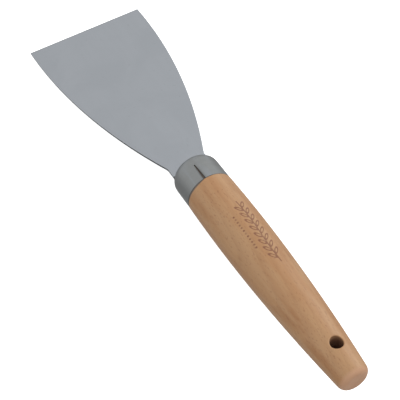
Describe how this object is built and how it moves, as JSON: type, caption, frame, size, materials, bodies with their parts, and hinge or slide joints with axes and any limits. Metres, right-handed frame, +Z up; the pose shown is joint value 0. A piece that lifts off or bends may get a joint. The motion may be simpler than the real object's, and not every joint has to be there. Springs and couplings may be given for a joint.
{
  "type": "palette knife",
  "caption": "Palette knife with a wide flared flat steel blade, a rolled steel ferrule and a turned wooden handle with a hanging hole.",
  "frame": {"origin": "centre of the hanging hole, on the handle's axis", "axes": "+X along the handle's axis to the blade's tip, +Z up, at right angles to the flat of the blade, +Y across the blade"},
  "size_m": [0.2512, 0.0632, 0.0234],
  "materials": {
    "blade_steel": "satin ground",
    "ferrule_steel": "satin, slightly darker than the blade",
    "beech": "satin lacquer",
    "adhesive": "cured epoxy"
  },
  "bodies": {
    "root": {"blade": "blade_steel", "ferrule": "ferrule_steel", "handle": "beech", "tang_adhesive": "adhesive"}
  },
  "joints": []
}
